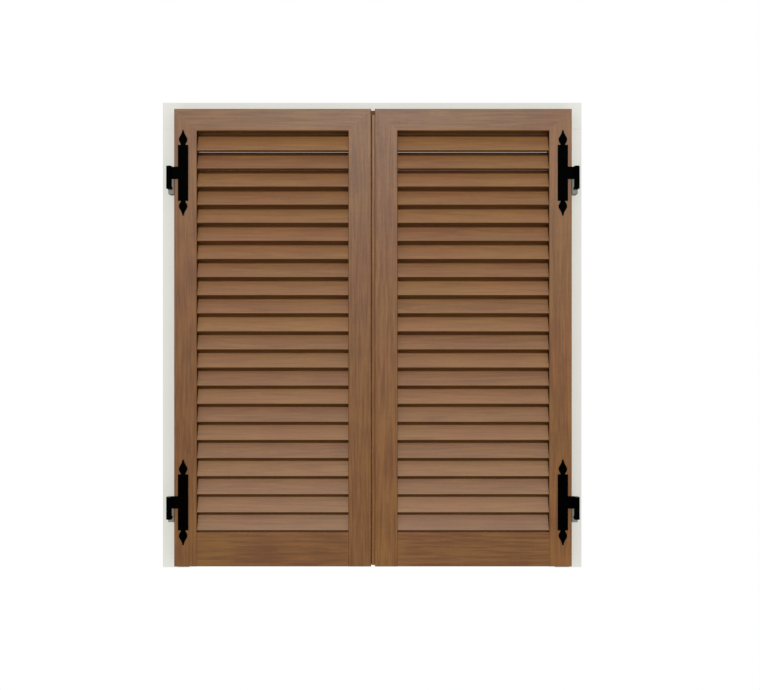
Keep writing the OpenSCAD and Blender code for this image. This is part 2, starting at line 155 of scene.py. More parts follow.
class Shader(Tree):
    """A material's node tree around one Principled BSDF, with patterns in object coordinates."""

    def __init__(self, name, surface=None):
        self.material = bpy.data.materials.new(name)
        self.material.use_nodes = True
        super().__init__(self.material.node_tree)
        self.surface = self.tree.nodes["Principled BSDF"]
        for key, value in (surface or {}).items():
            self.surface.inputs[key].default_value = value
        self.place = self.add("ShaderNodeTexCoord").outputs["Object"]

    def noise(self, place, scale, detail=2.0, roughness=0.5, distortion=0.0):
        return self.add(
            "ShaderNodeTexNoise",
            {
                "Vector": place,
                "Scale": scale,
                "Detail": detail,
                "Roughness": roughness,
                "Distortion": distortion,
            },
        ).outputs["Fac"]

    def range(self, value, low, high, to_low=0.0, to_high=1.0):
        return self.add(
            "ShaderNodeMapRange",
            {
                "Value": value,
                "From Min": low,
                "From Max": high,
                "To Min": to_low,
                "To Max": to_high,
            },
        ).outputs["Result"]

    def mix(self, share, a, b, blend="MIX"):
        node = self.add("ShaderNodeMix", data_type="RGBA", blend_type=blend)
        self.feed(node.inputs["Factor"], share)
        for socket, value in ((node.inputs[6], a), (node.inputs[7], b)):
            self.feed(socket, (*value, 1.0) if isinstance(value, tuple) else value)
        return node.outputs[2]

    def edges(self, radius):
        """0 on open faces, up to 1 where a face turns sharply within the radius."""
        soft = self.add("ShaderNodeBevel", {"Radius": radius}, samples=4)
        true = self.add("ShaderNodeNewGeometry").outputs["Normal"]
        return self.range(self.vector("DOT_PRODUCT", soft, true), 1.0, 0.86)

    def broad(self, face):
        """1 on faces square to this direction of the object, 0 on edges and ends."""
        normal = self.add("ShaderNodeNewGeometry").outputs["Normal"]
        own = self.add(
            "ShaderNodeVectorTransform",
            {"Vector": normal},
            vector_type="NORMAL",
            convert_from="WORLD",
            convert_to="OBJECT",
        ).outputs["Vector"]
        facing = self.math("ABSOLUTE", self.vector("DOT_PRODUCT", own, face))
        return self.range(facing, 0.90, 0.985)

    def bump(self, height, distance, strength=1.0):
        return self.add(
            "ShaderNodeBump", {"Height": height, "Distance": distance, "Strength": strength}
        )

    def finish(self, links):
        for key, value in links.items():
            self.feed(self.surface.inputs[key], value)
        return self.material


def lengthwise(along, stretch):
    """Scale that draws a pattern out along one axis."""
    return tuple(stretch if axis == along else 1.0 for axis in "XYZ")


def shades(colour, *factors):
    """The same colour at each of these strengths."""
    return [tuple(min(1.0, c * factor) for c in colour) for factor in factors]


def stain_tints(drift, green):
    """The olive and the red tint that the stain drifts between."""
    low, high = 1.0 - drift, 1.0 + drift
    return (1.0, green * high, green * low), (1.0, green * low, green * high)


def stained_wood(
    name, along, look, tone=1.0, shift=(0.0, 0.0, 0.0), per_slat=False, painted_shade_plane=None
):
    """Stained wood whose grain runs along one axis: growth bands, fibres, pores and worn edges.

    Slats read their own shift and tone from the mesh. Faces on the given plane across X, and the
    slats' narrow edges, are darkened as painted shade.
    """
    if per_slat:
        gloss, base, lively = look.slat_gloss, look.slat_roughness, 1.0
        green, worn, lean = 1.06, (0.01, 0.08), look.slat_shine_lean
    else:
        gloss, base, lively = look.wood_gloss, look.wood_roughness, look.member_contrast
        green, worn, lean = 1.02, (0.05, 0.32), 0.0
    s = Shader(name)
    place = s.vector("ADD", s.place, shift)
    if per_slat:
        own = s.add("ShaderNodeAttribute", attribute_name="slat_shift").outputs["Vector"]
        place = s.vector("ADD", place, own)
    grain = s.vector("MULTIPLY", place, lengthwise(along, 0.045))
    bands = s.noise(grain, 34.0, 2.0, 0.5, 0.5)
    rings = s.math("SINE", s.math("MULTIPLY", bands, 52.0))
    fibres = s.noise(grain, 760.0, 3.0, 0.65)
    streaks = s.noise(grain, 190.0, 2.0, 0.55)
    pores = s.range(s.noise(grain, 1500.0, 1.0, 0.4), 0.60, 0.72)
    blotches = s.noise(place, 9.0, 2.0, 0.5)

    share = s.math("MULTIPLY_ADD", rings, look.ring_contrast, 0.5)
    share = s.math("MULTIPLY_ADD", s.math("SUBTRACT", streaks, 0.5), 0.95 * lively, share)
    share = s.math("MULTIPLY_ADD", s.math("SUBTRACT", fibres, 0.5), 0.55, share)
    share = s.math("MULTIPLY_ADD", s.math("SUBTRACT", blotches, 0.5), 0.55 * lively, share)
    if per_slat:
        own = s.add("ShaderNodeAttribute", attribute_name="slat_tone").outputs["Fac"]
        share = s.math("MULTIPLY_ADD", own, look.slat_contrast, share)
    share = s.math("ADD", share, 0.0, clamp=True)
    dark, light = ([c * tone for c in shade] for shade in (look.wood_dark, look.wood_light))
    colour = s.mix(share, tuple(dark), tuple(light))
    hue = s.noise(place, 5.0, 1.0, 0.5)
    tint = s.mix(s.range(hue, 0.35, 0.65), *stain_tints(look.hue_drift, green))
    colour = s.mix(1.0, colour, tint, "MULTIPLY")
    colour = s.mix(s.math("MULTIPLY", pores, 0.38), colour, tuple(c * 0.35 for c in dark))
    wear = s.math("MULTIPLY", s.edges(0.0012), s.range(blotches, 0.35, 0.75, *worn))
    colour = s.mix(wear, colour, tuple(min(1.0, c * 1.7 + 0.01) for c in light))
    # Painted shade: a stile's inner face between the slats is darkened towards near black,
    # standing in for the shade there
    if painted_shade_plane is not None:
        across = s.add("ShaderNodeSeparateXYZ", {"Vector": s.place}).outputs["X"]
        near = s.math("COMPARE", across, painted_shade_plane, 0.0003)
        colour = s.mix(s.math("MULTIPLY", near, look.recess_painted_shade), colour, PAINTED_SHADE)

    broad = s.broad((0.0, -math.cos(lean), math.sin(lean)))
    # Painted shade: the slats' narrow edges are darkened, as if the light missed them
    if per_slat:
        narrow = s.math("SUBTRACT", 1.0, broad)
        colour = s.mix(s.math("MULTIPLY", narrow, look.edge_painted_shade), colour, PAINTED_SHADE)

    height = s.math("MULTIPLY_ADD", fibres, 0.6, s.math("MULTIPLY", rings, 0.12))
    height = s.math("MULTIPLY_ADD", pores, -0.7, height)
    roughness = s.math("MULTIPLY_ADD", fibres, 0.16, base - 0.08)
    return s.finish(
        {
            "Base Color": colour,
            "Roughness": roughness,
            "Specular IOR Level": s.math("MULTIPLY_ADD", broad, gloss * 0.9, gloss * 0.1),
            "Normal": s.bump(height, 0.00016, 0.35),
        }
    )


def brushed_paint(name, along, look, shift=(0.0, 0.0, 0.0)):
    """Pale paint on wood: brush marks along the member, and slightly thin paint on the edges."""
    s = Shader(name)
    place = s.vector("ADD", s.place, shift)
    drawn = s.vector("MULTIPLY", place, lengthwise(along, 0.03))
    strokes = s.noise(drawn, 420.0, 3.0, 0.6)
    laps = s.noise(drawn, 46.0, 1.0, 0.5)
    clouds = s.noise(place, 7.0, 2.0, 0.5)
    share = s.math("MULTIPLY_ADD", s.math("SUBTRACT", strokes, 0.5), 0.3, clouds, clamp=True)
    colour = s.mix(share, *shades(look.paint, 0.955, 1.03))
    thin = s.math("MULTIPLY", s.edges(0.0016), s.range(clouds, 0.45, 0.7, 0.0, 0.22))
    colour = s.mix(thin, colour, WORN_PAINT)
    height = s.math("MULTIPLY_ADD", laps, 0.5, strokes)
    roughness = s.math("MULTIPLY_ADD", strokes, 0.18, 0.44)
    return s.finish(
        {"Base Color": colour, "Roughness": roughness, "Normal": s.bump(height, 0.00018, 0.5)}
    )


def forged_iron(name, look):
    """Black paint on forged iron: soft hammer marks, fine grit, and slightly rubbed edges."""
    s = Shader(name, {"Specular IOR Level": look.iron_gloss})
    hammered = s.noise(s.place, 95.0, 1.0, 0.4)
    grit = s.noise(s.place, 1400.0, 2.0, 0.6)
    clouds = s.noise(s.place, 24.0, 2.0, 0.5)
    colour = s.mix(clouds, *shades(look.iron, 1.0, 1.7))
    rubbed = s.math("MULTIPLY", s.edges(0.0008), s.range(clouds, 0.4, 0.7, 0.1, 0.5))
    colour = s.mix(rubbed, colour, tuple(c * 4.0 + 0.001 for c in look.iron))
    height = s.math("MULTIPLY_ADD", grit, 0.12, hammered)
    roughness = s.math("MULTIPLY_ADD", clouds, 0.2, 0.38)
    return s.finish(
        {"Base Color": colour, "Roughness": roughness, "Normal": s.bump(height, 0.0007, 0.45)}
    )


def zinc_plate(name, look):
    """Zinc plating on steel: dull, with a faint mottle and fine scratches."""
    s = Shader(name, {"Metallic": 0.3})
    mottle = s.add(
        "ShaderNodeTexVoronoi", {"Vector": s.place, "Scale": 260.0, "Randomness": 1.0}
    ).outputs["Color"]
    grit = s.noise(s.place, 2200.0, 2.0, 0.6)
    clouds = s.noise(s.place, 60.0, 2.0, 0.5)
    low, high, bright = shades(look.zinc, 0.86, 1.1, 1.35)
    colour = s.mix(clouds, low, high)
    colour = s.mix(0.06, colour, mottle, "OVERLAY")
    rubbed = s.math("MULTIPLY", s.edges(0.0007), 0.3)
    colour = s.mix(rubbed, colour, bright)
    roughness = s.math("MULTIPLY_ADD", clouds, 0.2, 0.55)
    return s.finish(
        {"Base Color": colour, "Roughness": roughness, "Normal": s.bump(grit, 0.00005, 0.4)}
    )


def soft_rubber(name, look):
    """Brown rubber: matt, with a faint grain along its length and dust in patches."""
    s = Shader(name, {"Specular IOR Level": 0.25})
    lines = s.noise(s.vector("MULTIPLY", s.place, lengthwise("Z", 0.05)), 900.0, 2.0, 0.5)
    dust = s.range(s.noise(s.place, 130.0, 3.0, 0.6), 0.5, 0.75, 0.0, 0.35)
    colour = s.mix(lines, *shades(look.rubber, 0.85, 1.15))
    colour = s.mix(dust, colour, tuple(c * 1.4 + 0.01 for c in look.rubber))
    roughness = s.math("MULTIPLY_ADD", dust, 0.3, 0.7)
    return s.finish(
        {"Base Color": colour, "Roughness": roughness, "Normal": s.bump(lines, 0.00008, 0.4)}
    )


# ---- Making and keeping pieces ----


class GeometryTree(Tree):
    """A geometry node group with named inputs."""

    def __init__(self, name, inputs, geometry_input=False):
        group = bpy.data.node_groups.new(name, "GeometryNodeTree")
        super().__init__(group)
        face = group.interface
        if geometry_input:
            face.new_socket("Geometry", in_out="INPUT", socket_type="NodeSocketGeometry")
        self.keys = {}
        for label, kind in inputs.items():
            socket = face.new_socket(label, in_out="INPUT", socket_type="NodeSocket" + kind)
            self.keys[label] = socket.identifier
        face.new_socket("Geometry", in_out="OUTPUT", socket_type="NodeSocketGeometry")
        self.given = group.nodes.new("NodeGroupInput").outputs
        self.out = group.nodes.new("NodeGroupOutput")

    def random(self, kind, low, high, seed):
        """A random value from low to high for each point or instance."""
        node = self.add("FunctionNodeRandomValue", {"Seed": seed}, data_type=kind)
        for key, value in (("Min", low), ("Max", high)):
            self.feed(node.inputs[key], value)
        return node.outputs["Value"]

    def finish(self, geometry, material):
        real = self.add("GeometryNodeRealizeInstances", {"Geometry": geometry})
        smooth = self.add("GeometryNodeSetShadeSmooth", {"Geometry": real})
        done = self.add(
            "GeometryNodeSetMaterial", {"Geometry": smooth, "Material": material}
        )
        self.feed(self.out.inputs["Geometry"], done)
        return self


def linked(name, data):
    """A new object in the scene."""
    obj = bpy.data.objects.new(name, data)
    bpy.context.scene.collection.objects.link(obj)
    return obj


def hold(obj, body, replaced):
    """Puts a finished piece on its body and lets it stand for the measured parts."""
    for key in ("location", "rotation_euler"):
        setattr(obj, key, (0, 0, 0))
    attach(obj, body)
    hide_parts(*replaced)
    return obj


def baked(obj, name):
    """Turns an object and its modifiers into one plain mesh object, and removes the object."""
    bpy.context.view_layer.update()
    seen = obj.evaluated_get(bpy.context.evaluated_depsgraph_get())
    mesh = bpy.data.meshes.new_from_object(seen)
    mesh.name = name
    for index in reversed(range(len(mesh.materials))):
        if mesh.materials[index] is None:
            mesh.materials.pop(index=index)
    bpy.data.objects.remove(obj)
    if not mesh.polygons:
        raise RuntimeError(f"{name} came out empty")
    return linked(name, mesh)


def grown(tree, values, name, points=()):
    """Runs a geometry tree with these values on the given points, and returns the plain result."""
    mesh = bpy.data.meshes.new(name + "_points")
    mesh.from_pydata([tuple(p) for p in points], [], [])
    obj = linked(name + "_source", mesh)
    modifier = obj.modifiers.new("Build", "NODES")
    modifier.node_group = tree.tree
    for label, value in values.items():
        modifier[tree.keys[label]] = value
    even_shading(obj)
    return baked(obj, name)


def even_shading(obj):
    """Keeps broad faces flat-looking next to their rounded edges."""
    modifier = obj.modifiers.new("Even shading", "WEIGHTED_NORMAL")
    modifier.mode = "FACE_AREA"
    modifier.keep_sharp = True


def merged_copy(node, name):
    """A copy of a measured part whose loose triangles are joined into whole faces."""
    shape = bmesh.new()
    shape.from_mesh(NODES[node].data)
    bmesh.ops.remove_doubles(shape, verts=shape.verts, dist=JOIN_DISTANCE)
    bmesh.ops.dissolve_limit(
        shape,
        angle_limit=FLAT_ANGLE,
        verts=shape.verts,
        edges=shape.edges,
    )
    mesh = bpy.data.meshes.new(name)
    shape.to_mesh(mesh)
    shape.free()
    mesh.materials.clear()
    return linked(name, mesh)


def softened(node, name, material, width):
    """A measured part again, with its sharp edges rounded."""
    obj = merged_copy(node, name)
    for face in obj.data.polygons:
        face.use_smooth = True
    obj.data.set_sharp_from_angle(angle=math.radians(32))
    obj.data.materials.append(material)
    bevel = obj.modifiers.new("Rounding", "BEVEL")
    bevel.limit_method = "ANGLE"
    bevel.angle_limit = math.radians(35)
    bevel.width = width
    bevel.segments = 2
    bevel.use_clamp_overlap = True
    even_shading(obj)
    return baked(obj, name)


def islands(node):
    """(lowest corner, highest corner) of each separate solid in a measured part."""
    shape = bmesh.new()
    shape.from_mesh(NODES[node].data)
    bmesh.ops.remove_doubles(shape, verts=shape.verts, dist=JOIN_DISTANCE)
    seen, found = set(), []
    for start in shape.verts:
        if start in seen:
            continue
        seen.add(start)
        group, todo = [start], [start]
        while todo:
            for edge in todo.pop().link_edges:
                for vertex in edge.verts:
                    if vertex not in seen:
                        seen.add(vertex)
                        group.append(vertex)
                        todo.append(vertex)
        found.append(
            (
                Vector(min(v.co[i] for v in group) for i in range(3)),
                Vector(max(v.co[i] for v in group) for i in range(3)),
            )
        )
    shape.free()
    return sorted(found, key=lambda box: tuple(box[0]))


def dress(node, material):
    """Gives a measured part its material."""
    mesh = NODES[node].data
    mesh.materials.clear()
    mesh.materials.append(material)


# ---- Settings ----


def colour_setting(name, description, default):
    return FloatVectorProperty(
        name=name, description=description, default=default, subtype="COLOR", min=0.0, max=1.0
    )


def share_setting(name, description, default):
    return FloatProperty(name=name, description=description, default=default, subtype="FACTOR")


def angle_setting(name, description, default):
    return FloatProperty(name=name, description=description, default=default, subtype="ANGLE")


def length_setting(name, description, default):
    return FloatProperty(
        name=name, description=description, default=default, unit="LENGTH", precision=5
    )


class ShutterSizes(PropertyGroup):
    """Sizes of the slats and of the small roundings"""

    slat_count: IntProperty(
        name="Slats", description="Number of slats in each leaf", default=SLAT_COUNT, min=1
    )
    slat_pitch: length_setting("Slat pitch", "Height from one slat to the next", slat_pitch())
    slat_width: length_setting(
        "Slat width", "Width of a slat, measured along its slope", SLAT_WIDTH
    )
    slat_thickness: length_setting("Slat thickness", "Thickness of a slat", SLAT_THICKNESS)
    slat_lean: angle_setting("Slat lean", "Lean of a slat from the vertical", SLAT_LEAN)
    slat_edge: length_setting("Slat edge radius", "Radius of a slat's rounded edges", SLAT_EDGE)
    slat_play: angle_setting(
        "Slat play", "Most that a slat is turned in its housings", math.radians(0.12)
    )
    iron_rounding: length_setting(
        "Iron edge rounding", "Width of the rounding on the straps' edges", 0.0006
    )
    zinc_rounding: length_setting(
        "Zinc edge rounding", "Width of the rounding on the edges of plated parts", 0.0005
    )
    slot_width: length_setting(
        "Screw slot width", "Width of the slot in a screw's head", 0.0012
    )


class ShutterFinishes(PropertyGroup):
    """Colours and surfaces"""

    wood_light: colour_setting(
        "Light wood", "Colour of the stained wood between its grain lines", (0.200, 0.078, 0.013)
    )
    wood_dark: colour_setting(
        "Dark wood", "Colour of the stained wood in its grain lines", (0.128, 0.042, 0.005)
    )
    wood_roughness: share_setting("Wood roughness", "Roughness of the stiles and rails", 0.42)
    wood_gloss: share_setting(
        "Wood gloss", "Strength of the shine on the stiles and rails", 0.46
    )
    slat_roughness: share_setting("Slat roughness", "Roughness of the slats", 0.5)
    slat_gloss: share_setting("Slat gloss", "Strength of the shine on the slats", 1.0)
    slat_tone: FloatProperty(
        name="Slat tone", description="Lightness of the slats against the stiles", default=1.33
    )
    slat_shine_lean: angle_setting(
        "Slat face lean", "Lean of the slats' polished faces from the vertical", SLAT_LEAN
    )
    # Strength of the painted shade on the slats' narrow edges
    edge_painted_shade: share_setting(
        "Edge painted shade", "How much darker the slats' narrow edges take the stain", 0.5
    )
    member_contrast: FloatProperty(
        name="Member contrast",
        description="Strength of streaks and blotches on stiles and rails, against the slats",
        default=2.6,
    )
    hue_drift: share_setting(
        "Hue drift", "How far the stain drifts between an olive and a red tint", 0.05
    )
    # Strength of the painted shade on the stiles' inner faces
    recess_painted_shade: share_setting(
        "Recess painted shade", "Darkening of the stiles' inner faces between the slats", 0.7
    )
    ring_contrast: share_setting(
        "Ring contrast", "Strength of the growth rings in the grain", 0.16
    )
    slat_contrast: share_setting("Slat contrast", "Difference in tone from slat to slat", 0.22)
    paint: colour_setting("Frame paint", "Colour of the painted frame", (0.728, 0.735, 0.680))
    iron: colour_setting("Black iron", "Colour of the black straps", (0.0002, 0.0002, 0.0002))
    iron_gloss: share_setting("Iron gloss", "Strength of the shine on the black straps", 0.006)
    rubber: colour_setting(
        "Rubber", "Colour of the soft seal behind the meeting strip", (0.150, 0.070, 0.030)
    )
    zinc: colour_setting(
        "Zinc", "Colour of the plated pintles, bolts and guides", (0.222, 0.232, 0.211)
    )


class ShutterStage(PropertyGroup):
    """Floor, light and camera"""

    light_height: angle_setting(
        "Light height", "Height of the main light above the horizon", math.radians(23.5)
    )
    light_softness: angle_setting(
        "Light softness", "Apparent size of the main light", math.radians(7)
    )
    light_strength: FloatProperty(
        name="Light strength", description="Strength of the main light", default=1.75
    )
    surroundings: FloatProperty(
        name="Surroundings", description="Strength of the light from all sides", default=0.55
    )
    floor_drop: length_setting(
        "Floor drop", "Height of the frame's lower end above the floor", 0.9
    )
    floor_radius: length_setting("Floor radius", "Radius of the floor", 1.7)
    camera_distance: length_setting(
        "Camera distance", "Distance of the camera in front of the leaves' fronts", 2.744
    )
    camera_offset: FloatVectorProperty(
        name="Camera offset",
        description="Sideways and upward offset of the camera from the frame's middle",
        default=(0.0207, -0.0266),
        size=2,
        unit="LENGTH",
    )
    lens: FloatProperty(
        name="Lens", description="Focal length of the camera in millimetres", default=50.0
    )


# ---- Pieces ----


class SHUTTERS_OT_frame(Operator):
    """Paint the head and the two jambs"""

    bl_idname = "shutters.frame"
    bl_label = "Painted frame"

    def execute(self, context):
        look = context.scene.shutter_finishes
        dress("head", brushed_paint("head paint", "X", look, (3.1, 0.0, 0.7)))
        dress("left_jamb", brushed_paint("left jamb paint", "Z", look, (0.0, 1.3, 0.0)))
        dress("right_jamb", brushed_paint("right jamb paint", "Z", look, (5.0, 0.4, 2.0)))
        return {"FINISHED"}


class SHUTTERS_OT_leaf_wood(Operator):
    """Stain the stiles, the rails and the meeting strip, each with its own piece of wood"""

    bl_idname = "shutters.leaf_wood"
    bl_label = "Leaf wood"

    def execute(self, context):
        look = context.scene.shutter_finishes
        members = {
            "left_outer_stile": ("Z", 1.04),
            "left_meeting_stile": ("Z", 1.03),
            "left_top_rail": ("X", 1.06),
            "left_bottom_rail": ("X", 1.00),
            "right_outer_stile": ("Z", 1.10),
            "right_meeting_stile": ("Z", 1.08),
            "right_top_rail": ("X", 1.05),
            "right_bottom_rail": ("X", 1.00),
            "meeting_strip": ("Z", 1.06),
        }
        for index, (node, (along, tone)) in enumerate(members.items()):
            shift = (1.7 * index, 0.31 * index, 2.3 * index)
            name = node.replace("_", " ") + " wood"
            # Painted shade goes on each stile's inner face, between the slats
            dim = None
            if "stile" in node:
                inner = ("left" in node) == ("outer" in node)
                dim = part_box(node)[1 if inner else 0].x
            dress(node, stained_wood(name, along, look, tone, shift, painted_shade_plane=dim))
        return {"FINISHED"}


def slat_tree():
    """Sloping slats with rounded edges, one above the other."""
    t = GeometryTree(
        "Louvre slats",
        {
            "Count": "Int",
            "Pitch": "Float",
            "Length": "Float",
            "Width": "Float",
            "Thickness": "Float",
            "Lean": "Float",
            "Edge Radius": "Float",
            "Play": "Float",
            "First Corner": "Vector",
            "Seed": "Int",
            "Material": "Material",
        },
    )
    g = t.given
    section = t.add(
        "GeometryNodeCurvePrimitiveQuadrilateral",
        {"Width": g["Thickness"], "Height": g["Width"]},
        mode="RECTANGLE",
    )
    section = t.add(
        "GeometryNodeFilletCurve",
        {"Curve": section, "Radius": g["Edge Radius"], "Count": 4},
        mode="POLY",
    )
    end = t.add("ShaderNodeCombineXYZ", {"X": g["Length"]})
    line = t.add("GeometryNodeCurvePrimitiveLine", {"End": end})
    slat = t.add(
        "GeometryNodeCurveToMesh",
        {"Curve": line, "Profile Curve": section, "Fill Caps": True},
    )
    middle = t.add(
        "ShaderNodeCombineXYZ",
        {
            "Y": t.math("MULTIPLY", g["Thickness"], 0.5),
            "Z": t.math("MULTIPLY", g["Width"], 0.5),
        },
    )
    slat = t.add("GeometryNodeTransform", {"Geometry": slat, "Translation": middle})
    lean = t.add("ShaderNodeCombineXYZ", {"X": t.math("MULTIPLY", g["Lean"], -1.0)})
    slat = t.add("GeometryNodeTransform", {"Geometry": slat, "Rotation": lean})

    step = t.add("ShaderNodeCombineXYZ", {"Z": g["Pitch"]})
    places = t.add(
        "GeometryNodeMeshLine",
        {"Count": g["Count"], "Start Location": g["First Corner"], "Offset": step},
        mode="OFFSET",
    )
    turn = t.random("FLOAT", t.math("MULTIPLY", g["Play"], -1.0), g["Play"], g["Seed"])
    tilt = t.add("ShaderNodeCombineXYZ", {"X": turn})
    slats = t.add(
        "GeometryNodeInstanceOnPoints", {"Points": places, "Instance": slat, "Rotation": tilt}
    )
    index = t.add("GeometryNodeInputIndex")
    every_other = t.math("MULTIPLY_ADD", t.math("MODULO", index, 2.0), 1.1, -0.55)
    stray = t.random("FLOAT", -0.5, 0.5, t.math("ADD", g["Seed"], 1.0))
    slats = t.add(
        "GeometryNodeStoreNamedAttribute",
        {"Geometry": slats, "Name": "slat_tone", "Value": t.math("ADD", every_other, stray)},
        data_type="FLOAT",
        domain="INSTANCE",
    )
    shift = t.random(
        "FLOAT_VECTOR", (0.0, 0.0, 0.0), (9.0, 5.0, 7.0), t.math("ADD", g["Seed"], 2.0)
    )
    slats = t.add(
        "GeometryNodeStoreNamedAttribute",
        {"Geometry": slats, "Name": "slat_shift", "Value": shift},
        data_type="FLOAT_VECTOR",
        domain="INSTANCE",
    )
    return t.finish(slats, g["Material"])


class SHUTTERS_OT_seal(Operator):
    """Give the soft seal behind the meeting strip its rubber"""

    bl_idname = "shutters.seal"
    bl_label = "Meeting seal"

    def execute(self, context):
        dress("meeting_seal", soft_rubber("seal rubber", context.scene.shutter_finishes))
        return {"FINISHED"}


class SHUTTERS_OT_slats(Operator):
    """Set the sloping slats into both leaves"""

    bl_idname = "shutters.slats"
    bl_label = "Slats"

    def execute(self, context):
        sizes = context.scene.shutter_sizes
        look = context.scene.shutter_finishes
        tree = slat_tree()
        for seed, side in enumerate(SIDES):
            node = side + "_slats"
            low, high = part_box(node)
            r, t, lean = sizes.slat_edge, sizes.slat_thickness, sizes.slat_lean
            corner = Vector(
                (
                    low.x,
                    low.y - r * (math.cos(lean) + math.sin(lean) - 1),
                    low.z + (t - r) * math.sin(lean) + r - r * math.cos(lean),
                )
            )
            material = stained_wood(
                node.replace("_", " ") + " wood",
                "X",
                look,
                look.slat_tone,
                (4.1 * seed, 0.0, 0.0),
                True,
            )
            values = {
                "Count": sizes.slat_count,
                "Pitch": sizes.slat_pitch,
                "Length": high.x - low.x,
                "Width": sizes.slat_width,
                "Thickness": t,
                "Lean": lean,
                "Edge Radius": r,
                "Play": sizes.slat_play,
                "First Corner": corner,
                "Seed": 11 + 10 * seed,
                "Material": material,
            }
            hold(grown(tree, values, side + "_louvre"), side + "_leaf", [node])
        return {"FINISHED"}


class SHUTTERS_OT_straps(Operator):
    """Forge the four black strap hinges"""

    bl_idname = "shutters.straps"
    bl_label = "Strap hinges"

    def execute(self, context):
        width = context.scene.shutter_sizes.iron_rounding
        iron = forged_iron("black iron", context.scene.shutter_finishes)
        for side in SIDES:
            for height in ("upper", "lower"):
                node = f"{side}_{height}_strap"
                strap = softened(node, f"{side}_{height}_strap_hinge", iron, width)
                hold(strap, side + "_leaf", [node])
        return {"FINISHED"}


class SHUTTERS_OT_pintles(Operator):
    """Make the four plated pintles on the jambs"""

    bl_idname = "shutters.pintles"
    bl_label = "Pintles"
    # Length of the lug from its front, and how near its front a point counts as on it
    lug_length = 0.0255
    lug_front = 0.0008

    def execute(self, context):
        width = context.scene.shutter_sizes.zinc_rounding
        zinc = zinc_plate("pintle zinc", context.scene.shutter_finishes)
        iron = forged_iron("pintle iron", context.scene.shutter_finishes)
        for side in SIDES:
            for height in ("upper", "lower"):
                node = f"{side}_{height}_pintle"
                pintle = softened(node, f"{side}_{height}_pintle_bracket", zinc, width)
                self.blacken_lug(pintle.data, iron)
                hold(pintle, "frame", [node])
        return {"FINISHED"}

    def blacken_lug(self, mesh, iron):
        """The lug that carries the barrel is painted like the strap above it."""
        mesh.materials.append(iron)
        front = min(v.co.y for v in mesh.vertices)
        top = max(v.co.z for v in mesh.vertices if v.co.y < front + self.lug_front)
        for face in mesh.polygons:
            if face.center.z < top + 0.0001 and face.center.y < front + self.lug_length:
                face.material_index = 1


class SHUTTERS_OT_slide_bolts(Operator):
    """Make the slide bolts and their guides on the backs of the leaves"""

    bl_idname = "shutters.slide_bolts"
    bl_label = "Slide bolts"

    def execute(self, context):
        width = context.scene.shutter_sizes.zinc_rounding
        zinc = zinc_plate("bolt zinc", context.scene.shutter_finishes)
        for side in SIDES:
            for end in ("top", "bottom"):
                bolt = f"{side}_{end}_bolt"
                rod = softened(bolt, f"{side}_{end}_slide_bolt", zinc, width)
                hold(rod, bolt, [bolt])
                guide = softened(bolt + "_guide", f"{side}_{end}_guide_plate", zinc, width)
                hold(guide, side + "_leaf", [bolt + "_guide"])
        return {"FINISHED"}


def screw_tree():
    """Round-headed slotted screws at the given points, their heads towards an axis."""
    t = GeometryTree(
        "Slotted screws",
        {
            "Shank Radius": "Float",
            "Shank Length": "Float",
            "Head Radius": "Float",
            "Head Height": "Float",
            "Slot Width": "Float",
            "Axis": "Vector",
            "Seed": "Int",
            "Material": "Material",
        },
        geometry_input=True,
    )
    g = t.given
    ball = t.add(
        "GeometryNodeMeshUVSphere", {"Segments": 24, "Rings": 12, "Radius": 1.0}
    )
    at = t.add("ShaderNodeSeparateXYZ", {"Vector": t.add("GeometryNodeInputPosition")})
    dome = t.add(
        "ShaderNodeCombineXYZ",
        {
            "X": t.math("MULTIPLY", at.outputs["X"], g["Head Radius"]),
            "Y": t.math("MULTIPLY", at.outputs["Y"], g["Head Radius"]),
            "Z": t.math(
                "MULTIPLY", t.math("MAXIMUM", at.outputs["Z"], 0.0), g["Head Height"]
            ),
        },
    )
    head = t.add("GeometryNodeSetPosition", {"Geometry": ball.outputs["Mesh"], "Position": dome})
    size = t.add(
        "ShaderNodeCombineXYZ",
        {
            "X": t.math("MULTIPLY", g["Head Radius"], 3.0),
            "Y": g["Slot Width"],
            "Z": g["Head Height"],
        },
    )
    groove = t.add("GeometryNodeMeshCube", {"Size": size})
    lift = t.add("ShaderNodeCombineXYZ", {"Z": g["Head Height"]})
    groove = t.add(
        "GeometryNodeTransform", {"Geometry": groove.outputs["Mesh"], "Translation": lift}
    )
    head = t.add("GeometryNodeMeshBoolean", {0: head, 1: groove}, operation="DIFFERENCE")
    shank = t.add(
        "GeometryNodeMeshCylinder",
        {
            "Vertices": 20,
            "Radius": g["Shank Radius"],
            "Depth": g["Shank Length"],
        },
        fill_type="NGON",
    )
    drop = t.add(
        "ShaderNodeCombineXYZ", {"Z": t.math("MULTIPLY", g["Shank Length"], -0.5)}
    )
    shank = t.add(
        "GeometryNodeTransform", {"Geometry": shank.outputs["Mesh"], "Translation": drop}
    )
    screw = t.add("GeometryNodeJoinGeometry")
    for part in (shank.outputs[0], head.outputs[0]):
        t.tree.links.new(part, screw.inputs["Geometry"])
    spin = t.random("FLOAT", 0.0, math.pi, g["Seed"])
    turned = t.add("ShaderNodeCombineXYZ", {"Z": spin})
    facing = t.add("FunctionNodeAlignRotationToVector", {"Vector": g["Axis"]}, axis="Z")
    aimed = t.add(
        "FunctionNodeRotateRotation",
        {"Rotation": facing, "Rotate By": turned},
        rotation_space="LOCAL",
    )
    screws = t.add(
        "GeometryNodeInstanceOnPoints",
        {"Points": g["Geometry"], "Instance": screw, "Rotation": aimed},
    )
    return t.finish(screws, g["Material"])


